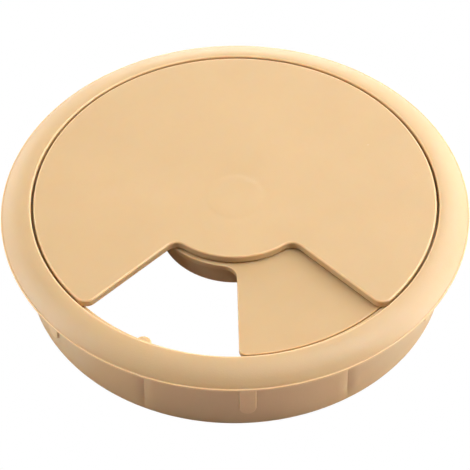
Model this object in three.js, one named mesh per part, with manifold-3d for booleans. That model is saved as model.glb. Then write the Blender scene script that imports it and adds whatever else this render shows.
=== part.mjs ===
// Desk grommet for an 80 mm cable hole, made of three plastic mouldings:
// a flanged body, a cover cap that turns in it, and a shutter that turns on the cap's spigot.
// Millimetres, +Z up. The origin is at the centre of the sleeve's bottom edge, on the grommet's axis,
// and the cable outlet in the cap opens towards -Y.

import * as THREE from 'three';
import { mergeVertices } from 'three/addons/utils/BufferGeometryUtils.js';
import Module from 'manifold-3d';

// ---------------------------------------------------------------- driving dimensions

const overallHeight = 17.5;
const runningGap = 0.3;

// Body: flange, recess for the cap, sleeve.
const flangeRadius = 44;
const flangeLipHeight = 0.5;
const flangeDomeDrop = 2.4;
const recessRadius = 38.25;
const recessEdgeRound = 0.3;
const ledgeRadius = 36.8;
const ledgeEdgeHeight = 1;
const sleeveRadius = 39.9;
const sleeveWall = 1.4;
const sleeveEdgeChamfer = 0.2;

// Crush pads on the outside of the sleeve.
const padCount = 6;
const padStartDeg = -86.4;
const padWidth = 3;
const padProud = 0.4;
const padBottomZ = 3.35;
const rootDepth = 0.5;

// Half-round ribs on the inside of the sleeve, one midway between each two pads.
const ribWidth = 3;
const ribTipRadius = 34.8;
const ribBottomZ = 1;

// Cap: disc with a quarter cut out, spigot with snap fingers, two stop bars.
const capRadius = 37.75;
const capThickness = 1.6;
const capSectorDeg = [-45, 225];
const capHubRadius = 15.1;
const capHubFillet = 2.4;
const capCornerRadius = 2.2;
const capEdgeRound = 0.3;
const spigotRadius = 5.4;
const spigotWall = 1.3;
const spigotLength = 4.7;
const barbProud = 0.7;
const barbTipInset = 0.3;
const fingerSlotWidth = 1.4;
const stopBarWidth = 1.2;
const stopBarInnerRadius = 20;
const stopBarOuterRadius = 33;
const stopBarAngleMargin = 2.6;

// Shutter: fan, hub disc and collar.
const shutterRadius = 36.5;
const shutterThickness = 1.1;
const shutterLeadDeg = -88.4;
const shutterSpanDeg = 97;
const shutterHubRadius = 15.75;
const shutterHubFillet = 2.8;
const shutterCornerRadius = 1.4;
const shutterEdgeRound = 0.2;
const shutterCloseDeg = -50;
const shutterOpenDeg = 46;
const collarRadius = 14.4;
const collarWall = 1.3;
const collarBottomZ = 9.4;

// Colours and finish of the three mouldings.
const bodyColour = 0xe6c191;
const capColour = 0xeac696;
const shutterColour = 0xe6c292;
const plasticRoughness = 0.45;

// Roundness of the faceted surfaces.
const turnSegments = 96;
const smallTurnSegments = 36;
const domeSegments = 6;
const bevelSegments = 1;
const wideArcStepDeg = 3.75;
const smallArcStepDeg = 15;
const smallArcRadius = 10;

// Heights that follow from the stack of cap, gap and shutter.
const capUnderZ = overallHeight - capThickness;
const shutterTopZ = capUnderZ - runningGap;
const shutterUnderZ = shutterTopZ - shutterThickness;
const ledgeTopZ = shutterTopZ;
const ribTopZ = shutterUnderZ - runningGap;
const stopBarBottomZ = shutterUnderZ;
const flangeEdgeTopZ = overallHeight - flangeDomeDrop;
const flangeUnderZ = flangeEdgeTopZ - flangeLipHeight;
const sleeveBoreRadius = sleeveRadius - sleeveWall;

// ---------------------------------------------------------------- solids

const wasm = await Module();
wasm.setup();

function radians(degrees) {
  return THREE.MathUtils.degToRad(degrees);
}

function toSolid(geometry) {
  const bare = geometry.clone();
  bare.deleteAttribute('normal');
  bare.deleteAttribute('uv');
  const merged = mergeVertices(bare);
  return new wasm.Manifold(
    new wasm.Mesh({
      numProp: 3,
      vertProperties: new Float32Array(merged.attributes.position.array),
      triVerts: new Uint32Array(merged.index.array),
    }),
  );
}

function toGeometry(solid) {
  const mesh = solid.getMesh();
  const geometry = new THREE.BufferGeometry();
  geometry.setAttribute('position', new THREE.BufferAttribute(mesh.vertProperties, mesh.numProp));
  geometry.setIndex(new THREE.BufferAttribute(mesh.triVerts, 1));
  geometry.computeVertexNormals();
  return geometry;
}

// Turns a closed (radius, height) outline about the Z axis. The outline runs up its outer side.
function turned(outline, segments) {
  const points = outline.map(([radius, height]) => new THREE.Vector2(radius, height));
  points.push(points[0].clone());
  const geometry = new THREE.LatheGeometry(points, segments);
  geometry.rotateX(Math.PI / 2);
  return toSolid(geometry);
}

// A plate with the plan outline of shape, lying between two heights.
function plate(shape, bottomZ, topZ, edgeRound = 0) {
  const geometry = new THREE.ExtrudeGeometry(shape, {
    depth: topZ - bottomZ - 2 * edgeRound,
    bevelEnabled: edgeRound > 0,
    bevelThickness: edgeRound,
    bevelSize: edgeRound,
    bevelOffset: -edgeRound,
    bevelSegments,
  });
  geometry.translate(0, 0, bottomZ + edgeRound);
  return toSolid(geometry);
}

// Moves a geometry drawn in (tangent, up, outward) coordinates to an angle around the axis.
function placeAround(geometry, degrees) {
  const angle = radians(degrees);
  const outward = new THREE.Vector3(Math.cos(angle), Math.sin(angle), 0);
  const tangent = new THREE.Vector3(-Math.sin(angle), Math.cos(angle), 0);
  const up = new THREE.Vector3(0, 0, 1);
  geometry.applyMatrix4(new THREE.Matrix4().makeBasis(tangent, up, outward));
  return geometry;
}

// The point at a distance and an angle from a centre, in a plane.
function polar(radius, angle, centre = [0, 0]) {
  return [centre[0] + radius * Math.cos(angle), centre[1] + radius * Math.sin(angle)];
}

// Points along an arc from one angle to another, both ends included.
function arc(centre, radius, from, to) {
  const stepDeg = radius > smallArcRadius ? wideArcStepDeg : smallArcStepDeg;
  const steps = Math.ceil(Math.abs(to - from) / radians(stepDeg));
  const points = [];
  for (let step = 0; step <= steps; step += 1) {
    points.push(polar(radius, from + ((to - from) * step) / steps, centre));
  }
  return points;
}

function shapeFrom(points) {
  return new THREE.Shape(points.map(([x, y]) => new THREE.Vector2(x, y)));
}

// Plan outline of a round hub with a sector on it, from startDeg anticlockwise to endDeg,
// with rounded outer corners and filleted roots where its straight sides meet the hub.
function sectorOutline({ outer, corner, hub, fillet, startDeg, endDeg }) {
  const axis = [0, 0];
  const quarter = Math.PI / 2;
  const start = radians(startDeg);
  const end = radians(endDeg);
  const cornerAngle = Math.asin(corner / (outer - corner));
  const filletAngle = Math.asin(fillet / (hub + fillet));
  const outerStart = start + cornerAngle;
  const outerEnd = end - cornerAngle;
  const hubStart = end + filletAngle;
  const hubEnd = start + 2 * Math.PI - filletAngle;
  return shapeFrom([
    ...arc(axis, outer, outerStart, outerEnd).slice(0, -1),
    ...arc(polar(outer - corner, outerEnd), corner, outerEnd, end + quarter),
    ...arc(polar(hub + fillet, hubStart), fillet, end - quarter, hubStart - Math.PI).slice(0, -1),
    ...arc(axis, hub, hubStart, hubEnd).slice(0, -1),
    ...arc(polar(hub + fillet, hubEnd), fillet, hubEnd - Math.PI, start + quarter),
    ...arc(polar(outer - corner, outerStart), corner, start - quarter, outerStart).slice(0, -1),
  ]);
}

// ---------------------------------------------------------------- body

function bodyShell() {
  const domeStart = recessRadius + recessEdgeRound;
  const domeWidth = flangeRadius - domeStart;
  const domeRadius = (domeWidth ** 2 + flangeDomeDrop ** 2) / (2 * flangeDomeDrop);
  const domeSweep = Math.asin(domeWidth / domeRadius);
  const dome = [];
  for (let step = 0; step <= domeSegments; step += 1) {
    const angle = domeSweep * (1 - step / domeSegments);
    const height = overallHeight - domeRadius * (1 - Math.cos(angle));
    dome.push([domeStart + domeRadius * Math.sin(angle), height]);
  }
  const ledgeUnderZ = ledgeTopZ - ledgeEdgeHeight;
  const gussetDrop = sleeveBoreRadius - ledgeRadius;
  const outline = [
    [sleeveBoreRadius, 0],
    [sleeveRadius - sleeveEdgeChamfer, 0],
    [sleeveRadius, sleeveEdgeChamfer],
    [sleeveRadius, flangeUnderZ],
    [flangeRadius, flangeUnderZ],
    ...dome,
    [recessRadius, overallHeight - recessEdgeRound],
    [recessRadius, ledgeTopZ],
    [ledgeRadius, ledgeTopZ],
    [ledgeRadius, ledgeUnderZ],
    [sleeveBoreRadius, ledgeUnderZ - gussetDrop],
  ];
  return turned(outline, turnSegments);
}

// A flat pad with a round lower end, standing a little out of the sleeve.
function crushPad(degrees) {
  const half = padWidth / 2;
  const topZ = flangeUnderZ + rootDepth;
  const shape = shapeFrom([
    [half, topZ],
    [-half, topZ],
    ...arc([0, padBottomZ + half], half, Math.PI, 2 * Math.PI),
  ]);
  const geometry = new THREE.ExtrudeGeometry(shape, { depth: rootDepth + padProud, bevelEnabled: false });
  geometry.translate(0, 0, sleeveRadius - rootDepth);
  return toSolid(placeAround(geometry, degrees));
}

// An upright rib with a round nose, standing in from the sleeve's bore.
function innerRib(degrees) {
  const half = ribWidth / 2;
  const rootRadius = sleeveBoreRadius + rootDepth;
  const shape = shapeFrom([
    [rootRadius, -half],
    [rootRadius, half],
    ...arc([ribTipRadius + half, 0], half, Math.PI / 2, 1.5 * Math.PI),
  ]);
  const geometry = new THREE.ExtrudeGeometry(shape, { depth: ribTopZ - ribBottomZ, bevelEnabled: false });
  geometry.rotateZ(radians(degrees));
  geometry.translate(0, 0, ribBottomZ);
  return toSolid(geometry);
}

function buildBody() {
  let body = bodyShell();
  const padPitch = 360 / padCount;
  for (let index = 0; index < padCount; index += 1) {
    const padAngle = padStartDeg + index * padPitch;
    body = body.add(crushPad(padAngle));
    body = body.add(innerRib(padAngle + padPitch / 2));
  }
  return body;
}

// ---------------------------------------------------------------- cap

// A hollow spigot whose lower end carries a barb that catches under the shutter's hub disc.
function spigot() {
  const innerRadius = spigotRadius - spigotWall;
  const bottomZ = capUnderZ - spigotLength;
  const barbTopZ = shutterUnderZ - runningGap;
  const tube = turned(
    [
      [innerRadius, bottomZ],
      [spigotRadius - barbTipInset, bottomZ],
      [spigotRadius + barbProud, barbTopZ],
      [spigotRadius, barbTopZ],
      [spigotRadius, capUnderZ + rootDepth],
      [innerRadius, capUnderZ + rootDepth],
    ],
    smallTurnSegments,
  );
  const slotReach = spigotRadius + 2 * barbProud;
  const slotHeight = spigotLength - barbProud;
  const slot = new THREE.BoxGeometry(2 * slotReach, fingerSlotWidth, slotHeight);
  slot.translate(0, 0, bottomZ + slotHeight / 2 - rootDepth);
  const crossSlot = slot.clone().rotateZ(Math.PI / 2);
  return tube.subtract(toSolid(slot)).subtract(toSolid(crossSlot));
}

// A radial bar under the cap that one side of the shutter comes up against.
function stopBar(degrees) {
  const length = stopBarOuterRadius - stopBarInnerRadius;
  const height = capUnderZ + rootDepth - stopBarBottomZ;
  const geometry = new THREE.BoxGeometry(length, stopBarWidth, height);
  geometry.translate(stopBarInnerRadius + length / 2, 0, stopBarBottomZ + height / 2);
  geometry.rotateZ(radians(degrees));
  return toSolid(geometry);
}

function buildCap() {
  const outline = sectorOutline({
    outer: capRadius,
    corner: capCornerRadius,
    hub: capHubRadius,
    fillet: capHubFillet,
    startDeg: capSectorDeg[0],
    endDeg: capSectorDeg[1],
  });
  const closedStopDeg = shutterLeadDeg + shutterCloseDeg - stopBarAngleMargin;
  const openStopDeg = shutterLeadDeg + shutterSpanDeg + shutterOpenDeg + stopBarAngleMargin;
  return plate(outline, capUnderZ, overallHeight, capEdgeRound)
    .add(spigot())
    .add(stopBar(closedStopDeg))
    .add(stopBar(openStopDeg));
}

// ---------------------------------------------------------------- shutter

function buildShutter() {
  const outline = sectorOutline({
    outer: shutterRadius,
    corner: shutterCornerRadius,
    hub: shutterHubRadius,
    fillet: shutterHubFillet,
    startDeg: shutterLeadDeg,
    endDeg: shutterLeadDeg + shutterSpanDeg,
  });
  const boreRadius = spigotRadius + runningGap;
  const bore = new THREE.CylinderGeometry(boreRadius, boreRadius, 2 * shutterThickness, smallTurnSegments);
  bore.rotateX(Math.PI / 2);
  bore.translate(0, 0, (shutterUnderZ + shutterTopZ) / 2);
  const collarTopZ = shutterUnderZ + rootDepth;
  const collar = turned(
    [
      [collarRadius - collarWall, collarBottomZ],
      [collarRadius, collarBottomZ],
      [collarRadius, collarTopZ],
      [collarRadius - collarWall, collarTopZ],
    ],
    turnSegments,
  );
  return plate(outline, shutterUnderZ, shutterTopZ, shutterEdgeRound)
    .subtract(toSolid(bore))
    .add(collar);
}

// ---------------------------------------------------------------- assembly

function moulding(name, solid, colour) {
  const finish = { color: colour, roughness: plasticRoughness, metalness: 0 };
  const material = new THREE.MeshStandardMaterial(finish);
  const mesh = new THREE.Mesh(toGeometry(solid), material);
  mesh.name = name;
  return mesh;
}

const group = new THREE.Group();
group.add(moulding('flanged_body', buildBody(), bodyColour));
group.add(moulding('cover_cap', buildCap(), capColour));
group.add(moulding('shutter', buildShutter(), shutterColour));

export default group;
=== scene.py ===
import math

import bmesh
import bpy
from mathutils import Matrix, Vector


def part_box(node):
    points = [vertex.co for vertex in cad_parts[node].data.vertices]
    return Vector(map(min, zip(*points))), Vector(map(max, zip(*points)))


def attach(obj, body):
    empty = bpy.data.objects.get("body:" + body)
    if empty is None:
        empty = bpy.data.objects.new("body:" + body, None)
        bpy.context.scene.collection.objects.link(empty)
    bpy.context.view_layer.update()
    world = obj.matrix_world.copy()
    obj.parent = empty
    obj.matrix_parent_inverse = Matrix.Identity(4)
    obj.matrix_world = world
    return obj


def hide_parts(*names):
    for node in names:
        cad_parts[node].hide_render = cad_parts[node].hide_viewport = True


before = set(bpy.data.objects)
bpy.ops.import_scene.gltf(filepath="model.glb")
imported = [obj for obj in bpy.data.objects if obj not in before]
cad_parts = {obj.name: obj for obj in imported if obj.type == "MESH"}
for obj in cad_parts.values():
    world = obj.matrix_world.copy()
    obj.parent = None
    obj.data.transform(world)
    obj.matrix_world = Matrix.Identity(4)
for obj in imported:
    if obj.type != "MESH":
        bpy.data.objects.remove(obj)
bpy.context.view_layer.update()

# The looks of the desk grommet: its three mouldings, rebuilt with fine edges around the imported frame.
# Lengths are in millimetres until a vertex is made, but for the lamps and the materials, in metres.
# Heights are above the sleeve's bottom edge.

MM = 0.001


def millimetres(corner):
    return [value / MM for value in corner]


BODY_HIGH = millimetres(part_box("flanged_body")[1])
CAP_LOW, CAP_HIGH = (millimetres(corner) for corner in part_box("cover_cap"))
SHUTTER_LOW, SHUTTER_HIGH = (millimetres(corner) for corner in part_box("shutter"))

# ---------------------------------------------------------------- dimensions

TOP = BODY_HIGH[2]
GAP = 0.3

FLANGE_RADIUS = BODY_HIGH[0]
FLANGE_FOOT_FILLET = 0.3
LIP_HEIGHT = 0.5
LIP_STEP = 0.3
LIP_ROUND = 0.12
LIP_UNDER_ROUND = 0.18
DOME_DROP = 2.4
RECESS_RADIUS = 38.25
RECESS_ROUND = 0.3
RECESS_FOOT = 0.15
LEDGE_RADIUS = 36.8
LEDGE_EDGE = 1.0
LEDGE_ROUND = 0.12
LEDGE_SUPPORT = 0.25
SLEEVE_RADIUS = 39.9
SLEEVE_WALL = 1.4
SLEEVE_ROUND = 0.2
BORE_ROUND = 0.2
BORE_RADIUS = SLEEVE_RADIUS - SLEEVE_WALL

PAD_START = -86.4
PAD_COUNT = 6
PAD_HALF = 1.5
PAD_PROUD = 0.4
PAD_BOTTOM = 3.35
PAD_EDGE = 0.07
PAD_MARGIN = 0.25
PAD_PITCH = 360 / PAD_COUNT
PAD_ANGLES = [(PAD_START + index * PAD_PITCH) % 360 for index in range(PAD_COUNT)]
RIB_ANGLES = [(angle + PAD_PITCH / 2) % 360 for angle in PAD_ANGLES]
RIB_HALF = 1.5
RIB_TIP = 34.8
RIB_BOTTOM = 1.0
RIB_FILLET = 0.4
RIB_ROUND = 0.25
RIB_SUPPORT = 0.2
SINK_SHIFT = 2.2
SINK_REACH = 3.0
SINK_HALF = 2.3
SINK_DEPTH = 0.45
SINK_FADE = 3.0

CAP_RADIUS = CAP_HIGH[0]
CAP_THICKNESS = 1.6
CAP_UNDER = TOP - CAP_THICKNESS
CAP_ROUND = 0.35
CAP_UNDER_ROUND = 0.15
CAP_PLAN = dict(outer=CAP_RADIUS, corner=2.2, hub=15.1, fillet=2.4, start=-45, end=225)
SPIGOT_RADIUS = 5.4
SPIGOT_WALL = 1.3
SPIGOT_TIP_ROUND = 0.15
SPIGOT_LEAD_IN = 0.45
SPIGOT_CHAMFER = 0.2
SPIGOT_FILLET = 0.25
FILLET_MIDDLE = 0.08
BARB_PROUD = 0.7
BARB_EDGE = 0.07
BARB_FLARE = 0.08
SLOT_WIDTH = 1.4
SLOT_REACH = 9
BAR_ROUND = 0.3
JOIN_DEPTH = 0.5
STOP_ANGLES = (-141.0, 57.2)
STOP_WIDTH = 1.2
STOP_SPAN = (20, 33)
WITNESS_RADIUS = 5.4
WITNESS_DEPTH = 0.08
WITNESS_SOFTNESS = 0.28
WITNESS_PATCH = 8.5

SHUTTER_TOP = SHUTTER_HIGH[2]
SHUTTER_THICKNESS = 1.1
SHUTTER_UNDER = SHUTTER_TOP - SHUTTER_THICKNESS
SHUTTER_ROUND = 0.2
SHUTTER_UNDER_ROUND = 0.12
SHUTTER_PLAN = dict(outer=36.5, corner=1.4, hub=15.75, fillet=2.8, start=-88.4, end=8.6)
COLLAR_RADIUS = 14.4
COLLAR_WALL = 1.3
COLLAR_FILLET = 0.25
COLLAR_ROUND = 0.15
COLLAR_SUPPORT = 0.4
SPIGOT_BORE_ROUND = 0.1
COLLAR_BOTTOM = SHUTTER_LOW[2]
SPIGOT_BORE = SPIGOT_RADIUS + GAP

LEDGE_TOP = SHUTTER_TOP
RIB_TOP = SHUTTER_UNDER - GAP
FLANGE_EDGE_TOP = TOP - DOME_DROP
FLANGE_UNDER = FLANGE_EDGE_TOP - LIP_HEIGHT

# Extra rows of vertices beside a round keep the flat next to it flat.
FLAT_SUPPORT = 0.4
WALL_SUPPORT = 0.2
PLATE_SUPPORT = 0.12

# The edge mark places a painted highlight: it is 1 where the mesh turns outwards by EDGE_FULL_TURN degrees,
# and the value below on the pads, which paints them paler.
EDGE_LAYER = "edge_turn"
EDGE_FULL_TURN = 18.0
PAD_PALENESS = 0.75
SMOOTH_BELOW = 32
SAME_POINT = 1e-4

# Columns and rows of the body's surface.
PAD_TURN, PAD_COLUMNS = 2.6, 36
RIB_TURN, RIB_COLUMNS = 2.9, 32
SINK_COLUMNS = 12
PAD_ROWS = 27
ROWS_BELOW_PADS = [0.4, 1.6, 2.9]
ROWS_ABOVE_PADS = [6, 8, 10, 12, 13.6, 14.2]

# ---------------------------------------------------------------- mesh helpers


def spread(first, last, count):
    """count + 1 values from first to last."""
    return [first + (last - first) * step / count for step in range(count + 1)]


def polar(radius, degrees, centre=(0, 0)):
    angle = math.radians(degrees)
    return centre[0] + radius * math.cos(angle), centre[1] + radius * math.sin(angle)


def quarter_round(centre, radius, start, end, steps=5):
    """Points of a small edge round about a centre, by its start and end angle."""
    return [polar(radius, angle, centre) for angle in spread(start, end, steps)]


def add_loop(bm, points):
    return [bm.verts.new((x * MM, y * MM, z * MM)) for x, y, z in points]


def join_loops(bm, one, other):
    """A band of quads between two closed loops with the same number of points."""
    for here in range(len(one)):
        after = (here + 1) % len(one)
        bm.faces.new((one[here], one[after], other[after], other[here]))


def fill_flat(bm, *loops):
    """Fills a flat region whose outer edge is the first loop and whose holes are the others."""
    edges = []
    for loop in loops:
        for here in range(len(loop)):
            pair = (loop[here], loop[(here + 1) % len(loop)])
            edges.append(bm.edges.get(pair) or bm.edges.new(pair))
    bmesh.ops.triangle_fill(bm, use_beauty=True, edges=edges)


def revolve(bm, outline, columns, closed=False):
    """Turns (radius, height) points about the axis. A closed outline joins its last point to its first."""
    loops = []
    for radius, height in outline:
        loops.append(add_loop(bm, [(*polar(radius, 360 * c / columns), height) for c in range(columns)]))
    pairs = list(zip(loops, loops[1:]))
    if closed:
        pairs.append((loops[-1], loops[0]))
    for one, other in pairs:
        join_loops(bm, one, other)
    return loops


def finish_mesh(bm, name):
    """Makes an object of a bmesh, smooth but for edges that turn by more than SMOOTH_BELOW degrees."""
    bmesh.ops.remove_doubles(bm, verts=bm.verts, dist=1e-7)
    bmesh.ops.dissolve_degenerate(bm, edges=bm.edges, dist=1e-8)
    bmesh.ops.recalc_face_normals(bm, faces=bm.faces)
    mesh = bpy.data.meshes.new(name)
    bm.to_mesh(mesh)
    bm.free()
    mesh.shade_smooth()
    mesh.set_sharp_from_angle(angle=math.radians(SMOOTH_BELOW))
    piece = bpy.data.objects.new(name, mesh)
    bpy.context.scene.collection.objects.link(piece)
    return piece


def is_on_pad(place):
    """Whether a point in millimetres is on the face of a crush pad, which presses on the hole's wall; these
    faces are painted paler.
    """
    stands_out = math.hypot(place.x, place.y) > SLEEVE_RADIUS + PAD_PROUD / 2
    return stands_out and place.z < FLANGE_UNDER - PAD_PROUD


def mark_edges(piece):
    """Stores how sharply the mesh turns outwards at each vertex, so that a painted highlight lies along the
    edges.
    """
    bm = bmesh.new()
    bm.from_mesh(piece.data)
    bm.edges.ensure_lookup_table()
    turns = [0.0] * len(bm.verts)
    for edge in bm.edges:
        if not edge.is_manifold:
            continue
        turn = math.degrees(edge.calc_face_angle_signed(0))
        for vert in edge.verts:
            turns[vert.index] = max(turns[vert.index], turn)
    bm.free()
    values = [min(turn / EDGE_FULL_TURN, 1.0) for turn in turns]
    for vert in piece.data.vertices:
        # The pads' faces get a set value, which paints them paler.
        if is_on_pad(vert.co / MM):
            values[vert.index] = PAD_PALENESS
    layer = piece.data.attributes.new(EDGE_LAYER, "FLOAT", "POINT")
    layer.data.foreach_set("value", values)


def combine(piece, other, operation):
    """Joins another solid to a piece, or cuts it away, and drops the other."""
    modifier = piece.modifiers.new(operation, "BOOLEAN")
    modifier.operation = operation
    modifier.solver = "EXACT"
    modifier.object = other
    bpy.context.view_layer.update()
    graph = bpy.context.evaluated_depsgraph_get()
    made = bpy.data.meshes.new_from_object(piece.evaluated_get(graph))
    piece.modifiers.clear()
    piece.data = made
    bpy.data.objects.remove(other)


def sector_loop(plan, inset, height):
    """The plan outline of a hub with a sector on it, moved inwards by inset, at one height.

    Each arc is its centre, radius, first and last angle, and the most degrees between two points.
    """
    outer, corner, hub, fillet = (plan[key] for key in ("outer", "corner", "hub", "fillet"))
    start, end = plan["start"], plan["end"]
    corner_turn = math.degrees(math.asin(corner / (outer - corner)))
    fillet_turn = math.degrees(math.asin(fillet / (hub + fillet)))
    outer_start, outer_end = start + corner_turn, end - corner_turn
    hub_start, hub_end = end + fillet_turn, start + 360 - fillet_turn
    arcs = (
        ((0, 0), outer - inset, outer_start, outer_end, 1.0),
        (polar(outer - corner, outer_end), corner - inset, outer_end, end + 90, 6.0),
        (polar(hub + fillet, hub_start), fillet + inset, end - 90, hub_start - 180, 6.0),
        ((0, 0), hub - inset, hub_start, hub_end, 2.0),
        (polar(hub + fillet, hub_end), fillet + inset, hub_end - 180, start + 90, 6.0),
        (polar(outer - corner, outer_start), corner - inset, start - 90, outer_start, 6.0),
    )
    points = []
    for centre, radius, first, last, step in arcs:
        for angle in spread(first, last, math.ceil(abs(last - first) / step)):
            x, y = polar(radius, angle, centre)
            if not points or math.dist(points[-1][:2], (x, y)) > SAME_POINT:
                points.append((x, y, height))
    if math.dist(points[0][:2], points[-1][:2]) < SAME_POINT:
        points.pop()
    return points


def plate_edge(under, top, under_round, top_round):
    """(inset, height) steps round the edge of a plate, with flat support strips at both faces."""
    lower = [(under_round + PLATE_SUPPORT, under)]
    for angle in spread(-90, 0, 3):
        turn = math.radians(angle)
        lower.append((under_round * (1 - math.cos(turn)), under + under_round * (1 + math.sin(turn))))
    upper = []
    for angle in spread(0, 90, 5):
        turn = math.radians(angle)
        upper.append((top_round * (1 - math.cos(turn)), top - top_round * (1 - math.sin(turn))))
    upper.append((top_round + PLATE_SUPPORT, top))
    wall = [(0, under + under_round + PLATE_SUPPORT), (0, top - top_round - PLATE_SUPPORT)]
    return lower + wall + upper


# ---------------------------------------------------------------- body


def plain_turns(first, last, after_rib, before_rib):
    """Angles between two dense stretches, finer on the sides where a sink line can reach."""
    turns = [first]
    if after_rib:
        turns += spread(first, first + SINK_REACH, SINK_COLUMNS)[1:]
    middle_end = last - SINK_REACH if before_rib else last
    turns += spread(turns[-1], middle_end, math.ceil(middle_end - turns[-1]))[1:]
    if before_rib:
        turns += spread(middle_end, last, SINK_COLUMNS)[1:]
    return turns[1:-1]


def body_columns():
    """Upright columns of the body as (angle, rib position or None), dense at the pads and ribs."""
    half_turns = {"pad": PAD_TURN, "rib": RIB_TURN}
    features = [(angle, "pad") for angle in PAD_ANGLES] + [(angle, "rib") for angle in RIB_ANGLES]
    features.sort()
    following = features[1:] + [(features[0][0] + 360, features[0][1])]
    columns = []
    for (angle, kind), (next_angle, next_kind) in zip(features, following):
        half = half_turns[kind]
        if kind == "pad":
            columns += [(angle + turn, None) for turn in spread(-half, half, PAD_COLUMNS)]
        else:
            columns += [(angle + half * share, (angle, share)) for share in spread(-1, 1, RIB_COLUMNS)]
        next_start = next_angle - half_turns[next_kind]
        turns = plain_turns(angle + half, next_start, kind == "rib", next_kind == "rib")
        columns += [(turn, None) for turn in turns]
    return columns


def across(angle, centre, radius):
    """Distance along the wall from the line at centre, or None on the far side."""
    turn = math.radians((angle - centre + 180) % 360 - 180)
    return radius * math.sin(turn) if abs(turn) < math.pi / 2 else None


def sink_shift(rib_angle):
    """The sink lines of the two front ribs lie a little nearer the front pad than the ribs do."""
    turn = (rib_angle - PAD_START + 180) % 360 - 180
    return -math.copysign(SINK_SHIFT, turn) if abs(turn) < PAD_PITCH else 0


def wall_relief(angle, height):
    """How far the sleeve's outside stands proud: crush pads out, sink lines at the ribs in."""
    relief = 0
    centre = PAD_START + PAD_PITCH * round((angle - PAD_START) / PAD_PITCH)
    side = across(angle, centre, SLEEVE_RADIUS)
    pad_centre = PAD_BOTTOM + PAD_HALF
    depth_in = PAD_HALF - (abs(side) if height >= pad_centre else math.hypot(side, height - pad_centre))
    share = min(max((depth_in + PAD_EDGE) / (2 * PAD_EDGE), 0), 1)
    relief += PAD_PROUD * share * share * (3 - 2 * share)
    for rib_angle in RIB_ANGLES:
        side = across(angle, rib_angle + sink_shift(rib_angle), SLEEVE_RADIUS)
        if side is not None and abs(side) < SINK_HALF:
            relief -= SINK_DEPTH * (1 - abs(side) / SINK_HALF) ** 2 * min(height / SINK_FADE, 1)
    return relief


def rib_outline(position, root_radius, inset):
    """(outward, sideways) of a point on a rib's half-round outline, from -1 to 1 over the nose."""
    side = 1 if position >= 0 else -1
    share = abs(position)
    half = RIB_HALF - inset
    fillet = RIB_FILLET + inset
    nose = RIB_TIP + RIB_HALF
    fillet_centre = math.sqrt(root_radius**2 - (half + fillet) ** 2) - fillet
    if share <= 0.5:
        turn = share * math.pi
        return nose - half * math.cos(turn), side * half * math.sin(turn)
    if share <= 0.75:
        return nose + (share - 0.5) / 0.25 * (fillet_centre - nose), side * half
    turn = (share - 0.75) / 0.25 * math.pi / 2
    return fillet_centre + fillet * math.sin(turn), side * (half + fillet * (1 - math.cos(turn)))


def body_point(column, row):
    angle, rib = column
    kind, radius, height, inset = row
    if kind == "relief":
        radius += wall_relief(angle, height)
    if kind == "rib" and rib is not None:
        centre, position = rib
        outward, sideways = rib_outline(position, radius, inset)
        radius = math.hypot(outward, sideways)
        angle = centre + math.degrees(math.atan2(sideways, outward))
    return (*polar(radius, angle), height)


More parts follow.
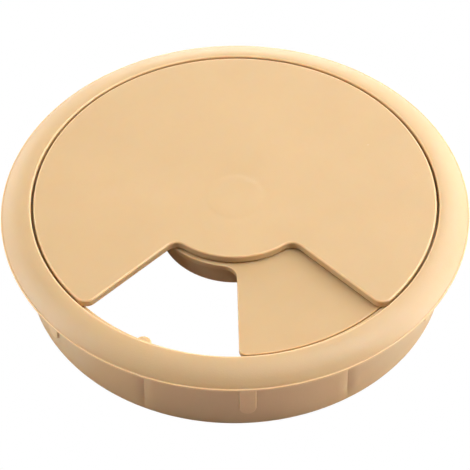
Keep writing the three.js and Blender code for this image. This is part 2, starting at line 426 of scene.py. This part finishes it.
def body_rows():
    """The body's section as rows (kind, radius, height, inset), up its outside and down its inside."""

    def rows(kind, points):
        return [(kind, radius, height, 0) for radius, height in points]

    dome_start = RECESS_RADIUS + RECESS_ROUND
    width = FLANGE_RADIUS - LIP_STEP - dome_start
    dome_radius = (width**2 + DOME_DROP**2) / (2 * DOME_DROP)
    dome_turn = math.degrees(math.asin(width / dome_radius))
    dome_centre = (dome_start, TOP - dome_radius)
    dome = [polar(dome_radius, angle, dome_centre) for angle in spread(90 - dome_turn, 90, 20)]

    sleeve_edge = (SLEEVE_RADIUS - SLEEVE_ROUND, SLEEVE_ROUND)
    section = rows("relief", quarter_round(sleeve_edge, SLEEVE_ROUND, -90, 0))
    pad_end = spread(PAD_BOTTOM - PAD_MARGIN, PAD_BOTTOM + PAD_HALF + PAD_MARGIN, PAD_ROWS)
    heights = ROWS_BELOW_PADS + pad_end + ROWS_ABOVE_PADS
    section += rows("relief", [(SLEEVE_RADIUS, height) for height in heights])
    foot = (SLEEVE_RADIUS + FLANGE_FOOT_FILLET, FLANGE_UNDER - FLANGE_FOOT_FILLET)
    section += rows("plain", quarter_round(foot, FLANGE_FOOT_FILLET, 180, 90, 3)[1:])
    section += rows("plain", [(foot[0] + FLAT_SUPPORT, FLANGE_UNDER)])
    section += rows("plain", [(FLANGE_RADIUS - FLAT_SUPPORT, FLANGE_UNDER)])
    lip_under = (FLANGE_RADIUS - LIP_UNDER_ROUND, FLANGE_UNDER + LIP_UNDER_ROUND)
    section += rows("plain", quarter_round(lip_under, LIP_UNDER_ROUND, -90, 0, 4))
    lip_centre = (FLANGE_RADIUS - LIP_ROUND, FLANGE_EDGE_TOP - LIP_ROUND)
    section += rows("plain", quarter_round(lip_centre, LIP_ROUND, 0, 80, 4))
    section += rows("plain", dome)
    edge = (RECESS_RADIUS + RECESS_ROUND, TOP - RECESS_ROUND)
    section += rows("plain", quarter_round(edge, RECESS_ROUND, 90, 180)[1:])
    section += rows("plain", [(RECESS_RADIUS, edge[1] - WALL_SUPPORT)])
    section += rows("plain", [(RECESS_RADIUS, LEDGE_TOP + RECESS_FOOT)])
    section += rows("plain", [(RECESS_RADIUS - RECESS_FOOT, LEDGE_TOP)])
    section += rows("plain", [(LEDGE_RADIUS + LEDGE_SUPPORT, LEDGE_TOP)])
    ledge_edge = (LEDGE_RADIUS + LEDGE_ROUND, LEDGE_TOP - LEDGE_ROUND)
    section += rows("plain", quarter_round(ledge_edge, LEDGE_ROUND, 90, 180, 3))
    ledge_under = LEDGE_TOP - LEDGE_EDGE
    gusset_radius = LEDGE_RADIUS + ledge_under - RIB_TOP
    wall_start = ledge_under - (BORE_RADIUS - LEDGE_RADIUS)
    section += rows("plain", [(LEDGE_RADIUS, ledge_under), (gusset_radius, RIB_TOP)])
    for angle in spread(90, 0, 4):
        turn = math.radians(angle)
        drop = RIB_ROUND * (1 - math.sin(turn))
        inset = RIB_ROUND * (1 - math.cos(turn))
        section.append(("rib", gusset_radius + drop, RIB_TOP - drop, inset))
    section += rows("rib", [(BORE_RADIUS, wall_start), (BORE_RADIUS, RIB_BOTTOM + RIB_SUPPORT)])
    section += rows("rib", [(BORE_RADIUS, RIB_BOTTOM)])
    section += rows("plain", [(BORE_RADIUS, RIB_BOTTOM), (BORE_RADIUS, 1.5 * BORE_ROUND)])
    section += rows("plain", quarter_round((BORE_RADIUS + BORE_ROUND, BORE_ROUND), BORE_ROUND, 180, 270, 3))
    return section


def make_body():
    bm = bmesh.new()
    columns = body_columns()
    loops = [add_loop(bm, [body_point(column, row) for column in columns]) for row in body_rows()]
    for one, other in zip(loops, loops[1:] + loops[:1]):
        join_loops(bm, one, other)
    return finish_mesh(bm, "body_moulding")


# ---------------------------------------------------------------- cap


def witness_height(radius):
    """The disc that the spigot underneath leaves on the cap's top, level with it inside a shallow moat."""
    if radius >= WITNESS_PATCH:
        return 0
    inside = 1 / (1 + math.exp((radius - WITNESS_RADIUS) / WITNESS_SOFTNESS))
    fade = min((WITNESS_PATCH - radius) / (WITNESS_PATCH - WITNESS_RADIUS), 1)
    return -WITNESS_DEPTH * (1 - inside) * fade**2


def make_spigot():
    """The spigot: a tube with a barb round its end, slotted both ways into four snap fingers."""
    inner = SPIGOT_RADIUS - SPIGOT_WALL
    bottom = CAP_LOW[2]
    barb_top = SHUTTER_UNDER - GAP
    barb = SPIGOT_RADIUS + BARB_PROUD
    root = CAP_UNDER + JOIN_DEPTH
    fillet_end = CAP_UNDER - SPIGOT_FILLET
    fillet_middle = CAP_UNDER - FILLET_MIDDLE
    tip = (SPIGOT_RADIUS - SPIGOT_LEAD_IN, bottom + SPIGOT_TIP_ROUND)
    outline = [(inner, bottom + SPIGOT_CHAMFER), (inner + SPIGOT_CHAMFER, bottom)]
    outline += quarter_round(tip, SPIGOT_TIP_ROUND, -90, 0, 3)
    outline += [(barb - BARB_FLARE, barb_top - BARB_FLARE - BARB_EDGE)]
    outline += [(barb, barb_top - BARB_EDGE), (barb - BARB_EDGE, barb_top)]
    outline += [(SPIGOT_RADIUS, barb_top), (SPIGOT_RADIUS, fillet_end)]
    outline += [(SPIGOT_RADIUS + FILLET_MIDDLE, fillet_middle), (SPIGOT_RADIUS + SPIGOT_FILLET, CAP_UNDER)]
    outline += [(SPIGOT_RADIUS + SPIGOT_FILLET, root), (inner - SPIGOT_FILLET, root)]
    outline += [(inner - SPIGOT_FILLET, CAP_UNDER)]
    outline += [(inner - FILLET_MIDDLE, fillet_middle), (inner, fillet_end)]
    bm = bmesh.new()
    revolve(bm, outline, 96, closed=True)
    spigot = finish_mesh(bm, "spigot")
    slot_heights = (bottom - 1, CAP_UNDER - BARB_PROUD)
    for turn in (0, 90):
        slot = make_bar(turn, (-SLOT_REACH, SLOT_REACH), SLOT_WIDTH, slot_heights)
        combine(spigot, slot, "DIFFERENCE")
    return spigot


def make_bar(degrees, span, width, heights):
    """A straight bar along a line through the axis, with rounded upright edges."""
    half = width / 2 - BAR_ROUND
    corners = ((span[1] - BAR_ROUND, half, 0), (span[0] + BAR_ROUND, half, 90))
    corners += ((span[0] + BAR_ROUND, -half, 180), (span[1] - BAR_ROUND, -half, 270))
    outline = []
    for x, y, first in corners:
        outline += quarter_round((x, y), BAR_ROUND, first, first + 90, 4)
    cos, sin = polar(1, degrees)
    turned = [(x * cos - y * sin, x * sin + y * cos) for x, y in outline]
    bm = bmesh.new()
    loops = [add_loop(bm, [(x, y, height) for x, y in turned]) for height in heights]
    join_loops(bm, loops[0], loops[1])
    for loop in loops:
        bm.faces.new(loop)
    return finish_mesh(bm, "bar")


def make_cap():
    bm = bmesh.new()
    edge = plate_edge(CAP_UNDER, TOP, CAP_UNDER_ROUND, CAP_ROUND)
    loops = [add_loop(bm, sector_loop(CAP_PLAN, inset, height)) for inset, height in edge]
    for one, other in zip(loops, loops[1:]):
        join_loops(bm, one, other)
    fill_flat(bm, loops[0])
    patch_radii = spread(WITNESS_PATCH, WITNESS_RADIUS - 2, 24) + [2, 1]
    patch = [(radius, TOP + witness_height(radius)) for radius in patch_radii]
    rings = revolve(bm, patch, 120)
    bm.faces.new(rings[-1])
    fill_flat(bm, loops[-1], rings[0])
    cap = finish_mesh(bm, "cap_moulding")
    combine(cap, make_spigot(), "UNION")
    for degrees in STOP_ANGLES:
        bar = make_bar(degrees, STOP_SPAN, STOP_WIDTH, (SHUTTER_UNDER, CAP_UNDER + JOIN_DEPTH))
        combine(cap, bar, "UNION")
    return cap


# ---------------------------------------------------------------- shutter


def make_shutter():
    bm = bmesh.new()
    edge = plate_edge(SHUTTER_UNDER, SHUTTER_TOP, SHUTTER_UNDER_ROUND, SHUTTER_ROUND)
    loops = [add_loop(bm, sector_loop(SHUTTER_PLAN, inset, height)) for inset, height in edge]
    for one, other in zip(loops, loops[1:]):
        join_loops(bm, one, other)
    inner = COLLAR_RADIUS - COLLAR_WALL
    fillet_height = SHUTTER_UNDER - COLLAR_FILLET
    foot_height = COLLAR_BOTTOM + COLLAR_ROUND
    bore_edge = SPIGOT_BORE + SPIGOT_BORE_ROUND
    bore_flat = bore_edge + WALL_SUPPORT
    section = [(COLLAR_RADIUS + COLLAR_SUPPORT, SHUTTER_UNDER)]
    section += quarter_round((COLLAR_RADIUS + COLLAR_FILLET, fillet_height), COLLAR_FILLET, 90, 180, 4)
    section += [(COLLAR_RADIUS, COLLAR_BOTTOM + COLLAR_SUPPORT)]
    section += quarter_round((COLLAR_RADIUS - COLLAR_ROUND, foot_height), COLLAR_ROUND, 0, -90, 3)
    section += quarter_round((inner + COLLAR_ROUND, foot_height), COLLAR_ROUND, -90, -180, 3)
    section += [(inner, COLLAR_BOTTOM + COLLAR_SUPPORT)]
    section += quarter_round((inner - COLLAR_FILLET, fillet_height), COLLAR_FILLET, 0, 90, 4)
    section += [(inner - COLLAR_SUPPORT, SHUTTER_UNDER), (bore_flat, SHUTTER_UNDER)]
    under_edge = (bore_edge, SHUTTER_UNDER + SPIGOT_BORE_ROUND)
    section += quarter_round(under_edge, SPIGOT_BORE_ROUND, -90, -180, 3)
    top_edge = (bore_edge, SHUTTER_TOP - SPIGOT_BORE_ROUND)
    section += quarter_round(top_edge, SPIGOT_BORE_ROUND, 180, 90, 3)
    section += [(bore_flat, SHUTTER_TOP)]
    rings = revolve(bm, section, 180)
    fill_flat(bm, loops[0], rings[0])
    fill_flat(bm, loops[-1], rings[-1])
    return finish_mesh(bm, "shutter_moulding")


# ---------------------------------------------------------------- materials

BODY_COLOUR = (0.625, 0.425, 0.220)
CAP_COLOUR = BODY_COLOUR
SHUTTER_COLOUR = (0.600, 0.405, 0.205)
SPECK_COLOUR = (0.86, 0.83, 0.76, 1)
# How much paler the painted edge highlight, and the pads, are made.
HIGHLIGHT_GAIN = 1.26
HIGHLIGHT_LIFT = 0.02

# Noise scales, in waves per metre, from the broadest to the finest.
MOTTLE_SCALE = 70
FLOW_SCALE = 110
SPECK_SCALE = 170
SATIN_SCALE = 240
# The patchiness of the painted edge highlight and of the paler pads.
HIGHLIGHT_PATCH_SCALE = 400
GRAIN_SCALE = 3600

# Heights of the two bumps in metres.
FLOW_HEIGHT = 0.0002
GRAIN_HEIGHT = 0.00003


class Nodes:
    """Short calls for building one material's node tree."""

    def __init__(self, name):
        self.material = bpy.data.materials.new(name)
        self.material.use_nodes = True
        self.tree = self.material.node_tree
        self.tree.nodes.clear()

    def add(self, kind, values=None, **settings):
        node = self.tree.nodes.new(kind)
        for key, value in settings.items():
            setattr(node, key, value)
        for key, value in (values or {}).items():
            if isinstance(value, bpy.types.NodeSocket):
                self.tree.links.new(value, node.inputs[key])
            else:
                node.inputs[key].default_value = value
        return node

    def noise(self, place, scale, detail=2.0, roughness=0.5):
        values = {"Vector": place, "Scale": scale, "Detail": detail, "Roughness": roughness}
        return self.add("ShaderNodeTexNoise", values).outputs["Fac"]

    def remap(self, value, low, high, to_low=0.0, to_high=1.0):
        values = {"Value": value, "From Min": low, "From Max": high, "To Min": to_low, "To Max": to_high}
        return self.add("ShaderNodeMapRange", values).outputs["Result"]

    def multiply(self, one, other):
        return self.add("ShaderNodeMath", {0: one, 1: other}, operation="MULTIPLY").outputs[0]

    def mix(self, share, one, other):
        """A mix of two colours. Sockets 0, 6 and 7 of the node are its factor and its two colours."""
        return self.add("ShaderNodeMix", {0: share, 6: one, 7: other}, data_type="RGBA").outputs[2]

    def finish(self, surface):
        self.add("ShaderNodeOutputMaterial", {"Surface": surface})
        return self.material


def scaled(colour, gain, lift=0.0):
    """A colour made lighter or darker, with its alpha."""
    return tuple(min(1.0, gain * value + lift) for value in colour) + (1,)


def mottled_colour(nodes, place, colour):
    """The plastic's colour with the faint cloudiness of its flow in the mould."""
    share = nodes.remap(nodes.noise(place, MOTTLE_SCALE, 3), 0.3, 0.7)
    return nodes.mix(share, scaled(colour, 0.975), scaled(colour, 1.02))


def painted_highlight_colour(nodes, place, colour, base):
    """Painted highlight: paler where the edge mark is high, along sharp outward edges, and paler on the pads,
    a little unevenly.
    """
    turn = nodes.add("ShaderNodeAttribute", attribute_name=EDGE_LAYER).outputs["Fac"]
    patchy = nodes.remap(nodes.noise(place, HIGHLIGHT_PATCH_SCALE, 3), 0.35, 0.65, 0.75, 1.0)
    share = nodes.multiply(nodes.remap(turn, 0.4, 1.0), patchy)
    return nodes.mix(share, base, scaled(colour, HIGHLIGHT_GAIN, HIGHLIGHT_LIFT))


def specked_colour(nodes, place, base):
    """A fine pale speck of dust in about a fifth of the cells."""
    cells = nodes.add("ShaderNodeTexVoronoi", {"Vector": place, "Scale": SPECK_SCALE})
    chosen = nodes.remap(cells.outputs["Color"], 0.80, 0.82)
    dot = nodes.remap(cells.outputs["Distance"], 0.016, 0.026, 1, 0)
    return nodes.mix(nodes.multiply(dot, chosen), base, SPECK_COLOUR)


def moulded_normal(nodes, place):
    """Slow waves of the moulded skin with the mould's fine eroded grain on them."""
    flow = nodes.noise(place, FLOW_SCALE, 2)
    grain = nodes.noise(place, GRAIN_SCALE, 2)
    wave = nodes.add("ShaderNodeBump", {"Height": flow, "Strength": 0.25, "Distance": FLOW_HEIGHT})
    values = {"Height": grain, "Strength": 0.5, "Distance": GRAIN_HEIGHT, "Normal": wave.outputs["Normal"]}
    return nodes.add("ShaderNodeBump", values).outputs["Normal"]


def plastic(name, colour, shift):
    """Satin moulded plastic: faint flow mottling, fine eroded grain, dust specks, a painted highlight on the
    edges and paler pads.
    """
    nodes = Nodes(name)
    coordinates = nodes.add("ShaderNodeTexCoord").outputs["Object"]
    moved = nodes.add("ShaderNodeMapping", {"Vector": coordinates, "Location": (shift, 0.3 * shift, 0)})
    place = moved.outputs["Vector"]
    base = mottled_colour(nodes, place, colour)
    # Painted highlight along the edges, and paler pads.
    base = painted_highlight_colour(nodes, place, colour, base)
    base = specked_colour(nodes, place, base)
    shader = nodes.add(
        "ShaderNodeBsdfPrincipled",
        {
            "Base Color": base,
            "Roughness": nodes.remap(nodes.noise(place, SATIN_SCALE, 3), 0.3, 0.7, 0.40, 0.50),
            "Normal": moulded_normal(nodes, place),
            "IOR": 1.58,
            "Subsurface Weight": 0.7,
            "Subsurface Radius": (1.0, 0.6, 0.35),
            "Subsurface Scale": 0.0011,
        },
    )
    return nodes.finish(shader.outputs["BSDF"])


def glowing(name, colour, strength):
    nodes = Nodes(name)
    shader = nodes.add("ShaderNodeEmission", {"Color": colour, "Strength": strength})
    return nodes.finish(shader.outputs["Emission"])


def matte(name, colour):
    nodes = Nodes(name)
    shader = nodes.add("ShaderNodeBsdfDiffuse", {"Color": colour})
    return nodes.finish(shader.outputs["BSDF"])


# ---------------------------------------------------------------- pieces


def place_piece(piece, material, body, node):
    """Finishes a piece, and puts it on its body in place of its CAD node."""
    mark_edges(piece)
    piece.data.materials.clear()
    piece.data.materials.append(material)
    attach(piece, body)
    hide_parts(node)


# The last number of each plastic moves its texture, so that no two pieces have the same mottling.
body_plastic = plastic("body plastic", BODY_COLOUR, 0.0)
cap_plastic = plastic("cap plastic", CAP_COLOUR, 0.7)
shutter_plastic = plastic("shutter plastic", SHUTTER_COLOUR, 1.9)

place_piece(make_body(), body_plastic, "body", "flanged_body")
place_piece(make_cap(), cap_plastic, "cap", "cover_cap")
place_piece(make_shutter(), shutter_plastic, "shutter", "shutter")


# ---------------------------------------------------------------- stage, light and camera

FLOOR_REACH = 4000
FLOOR_CENTRE = 0.5
FLOOR_LEVEL = -0.05
CARD_LEVEL = FLOOR_LEVEL + 0.01
PAPER_LEVEL = FLOOR_LEVEL + 0.02
DOME_REACH = 3900
FLOOR_COLOUR = (0.77, 0.68, 0.68, 1)
WHITE = (1, 1, 1, 1)


def stage_disc(name, height, material):
    """A wide round sheet under the grommet."""
    bm = bmesh.new()
    rings = revolve(bm, [(FLOOR_REACH, height), (FLOOR_CENTRE, height)], 180)
    bm.faces.new(rings[-1])
    piece = finish_mesh(bm, name)
    piece.data.materials.append(material)
    return piece


def only_seen_by(piece, camera, light):
    """Whether a stage piece is seen by the camera, and whether it lights the grommet."""
    piece.visible_camera = camera
    piece.visible_diffuse = light
    piece.visible_glossy = light
    piece.visible_transmission = light
    piece.visible_shadow = light


# The camera sees white paper. The grommet is lit by the pale floor just under it.
white_paper = glowing("white paper", WHITE, 1.0)
paper = stage_disc("white_paper", PAPER_LEVEL, white_paper)
only_seen_by(paper, True, False)
floor = stage_disc("floor", FLOOR_LEVEL, matte("pale floor", FLOOR_COLOUR))
only_seen_by(floor, False, True)


def backdrop_dome():
    """A white dome that only the camera sees, so that views from low down have a plain background."""
    bm = bmesh.new()
    bmesh.ops.create_uvsphere(bm, u_segments=48, v_segments=24, radius=DOME_REACH * MM)
    dome = finish_mesh(bm, "backdrop_dome")
    dome.data.materials.append(white_paper)
    only_seen_by(dome, True, False)


backdrop_dome()

# Azimuths of cards and lamps, in degrees round from behind the grommet.
BACK, RIGHT, FRONT, LEFT = 0, 90, 180, 270
CARD_START = 41
CARD_BACK = 60
CARD_NEAR = 90
CARD_FAR = 600


def floor_card(name, azimuth, inner, outer, strength):
    """A glowing quarter of the table top beside the grommet, between two radii."""
    bm = bmesh.new()
    turns = spread(90 - azimuth - 45, 90 - azimuth + 45, 40)
    near = add_loop(bm, [(*polar(inner, turn), CARD_LEVEL) for turn in turns])
    far = add_loop(bm, [(*polar(outer, turn), CARD_LEVEL) for turn in turns])
    for here in range(len(turns) - 1):
        bm.faces.new((near[here], far[here], far[here + 1], near[here + 1]))
    card = finish_mesh(bm, name)
    card.data.materials.append(glowing(name, WHITE, strength))
    only_seen_by(card, False, True)


floor_card("card_left_far", LEFT, CARD_NEAR, CARD_FAR, 2.2)
floor_card("card_left_near", LEFT, CARD_START, CARD_NEAR, 0.7)
floor_card("card_right_far", RIGHT, CARD_NEAR, CARD_FAR, 2.1)
floor_card("card_right_near", RIGHT, CARD_START, CARD_NEAR, 0.85)
floor_card("card_back_far", BACK, CARD_BACK, CARD_FAR, 1.2)

LAMP_SIZE = 0.35
LAMP_DISTANCE = 0.6
LOW, MIDDLE, HIGH, OVERHEAD = 10, 38, 64, 76
LAMPS = (
    # name, azimuth, elevation, watts
    ("low_back", BACK, LOW, 1.5),
    ("low_back_right", BACK + 45, LOW, 0.8),
    ("low_right", RIGHT, LOW, 2.2),
    ("low_left", LEFT, LOW, 1.5),
    ("low_back_left", LEFT + 45, LOW, 0.9),
    ("middle_back_right", BACK + 45, MIDDLE, 1.35),
    ("middle_right", RIGHT, MIDDLE, 1.2),
    ("middle_left", LEFT, MIDDLE, 1.3),
    ("high_right", RIGHT, HIGH, 1.5),
    ("overhead_front", FRONT, OVERHEAD, 0.6),
)


def area_light(name, azimuth, elevation, power):
    """A square soft light that faces the grommet."""
    light = bpy.data.lights.new(name, "AREA")
    light.energy = power
    light.size = LAMP_SIZE
    lamp = bpy.data.objects.new(name, light)
    turn, rise = math.radians(azimuth), math.radians(elevation)
    lamp.location = (
        LAMP_DISTANCE * math.sin(turn) * math.cos(rise),
        LAMP_DISTANCE * math.cos(turn) * math.cos(rise),
        TOP * MM + LAMP_DISTANCE * math.sin(rise),
    )
    lamp.rotation_euler = (math.pi / 2 - rise, 0, math.pi - turn)
    bpy.context.scene.collection.objects.link(lamp)


for name, azimuth, elevation, power in LAMPS:
    area_light(name, azimuth, elevation, power)

world = bpy.data.worlds.new("studio")
world.use_nodes = True
world.node_tree.nodes["Background"].inputs["Strength"].default_value = 0.0
bpy.context.scene.world = world
bpy.context.scene.view_settings.view_transform = "Standard"

# Degrees and millimetres. Tilt, yaw and roll turn the camera away from the grommet's top centre.
CAMERA_AZIMUTH = 0.85
CAMERA_ELEVATION = 46.94
CAMERA_DISTANCE = 391.4
CAMERA_TILT = 1.061
CAMERA_YAW = 0.012
CAMERA_ROLL = -0.573
CAMERA_LENS = 160.0
CAMERA_SENSOR = 36


def add_camera():
    camera_data = bpy.data.cameras.new("camera")
    camera_data.lens = CAMERA_LENS
    camera_data.sensor_width = CAMERA_SENSOR
    camera = bpy.data.objects.new("camera", camera_data)
    turn, rise = math.radians(CAMERA_AZIMUTH), math.radians(CAMERA_ELEVATION)
    camera_place = Matrix.Translation((
        CAMERA_DISTANCE * MM * math.sin(turn) * math.cos(rise),
        -CAMERA_DISTANCE * MM * math.cos(turn) * math.cos(rise),
        TOP * MM + CAMERA_DISTANCE * MM * math.sin(rise),
    ))
    yaw = Matrix.Rotation(turn + math.radians(CAMERA_YAW), 4, "Z")
    tilt = Matrix.Rotation(math.radians(90 - CAMERA_ELEVATION - CAMERA_TILT), 4, "X")
    roll = Matrix.Rotation(math.radians(CAMERA_ROLL), 4, "Z")
    camera.matrix_world = camera_place @ yaw @ tilt @ roll
    bpy.context.scene.collection.objects.link(camera)
    bpy.context.scene.camera = camera


add_camera()
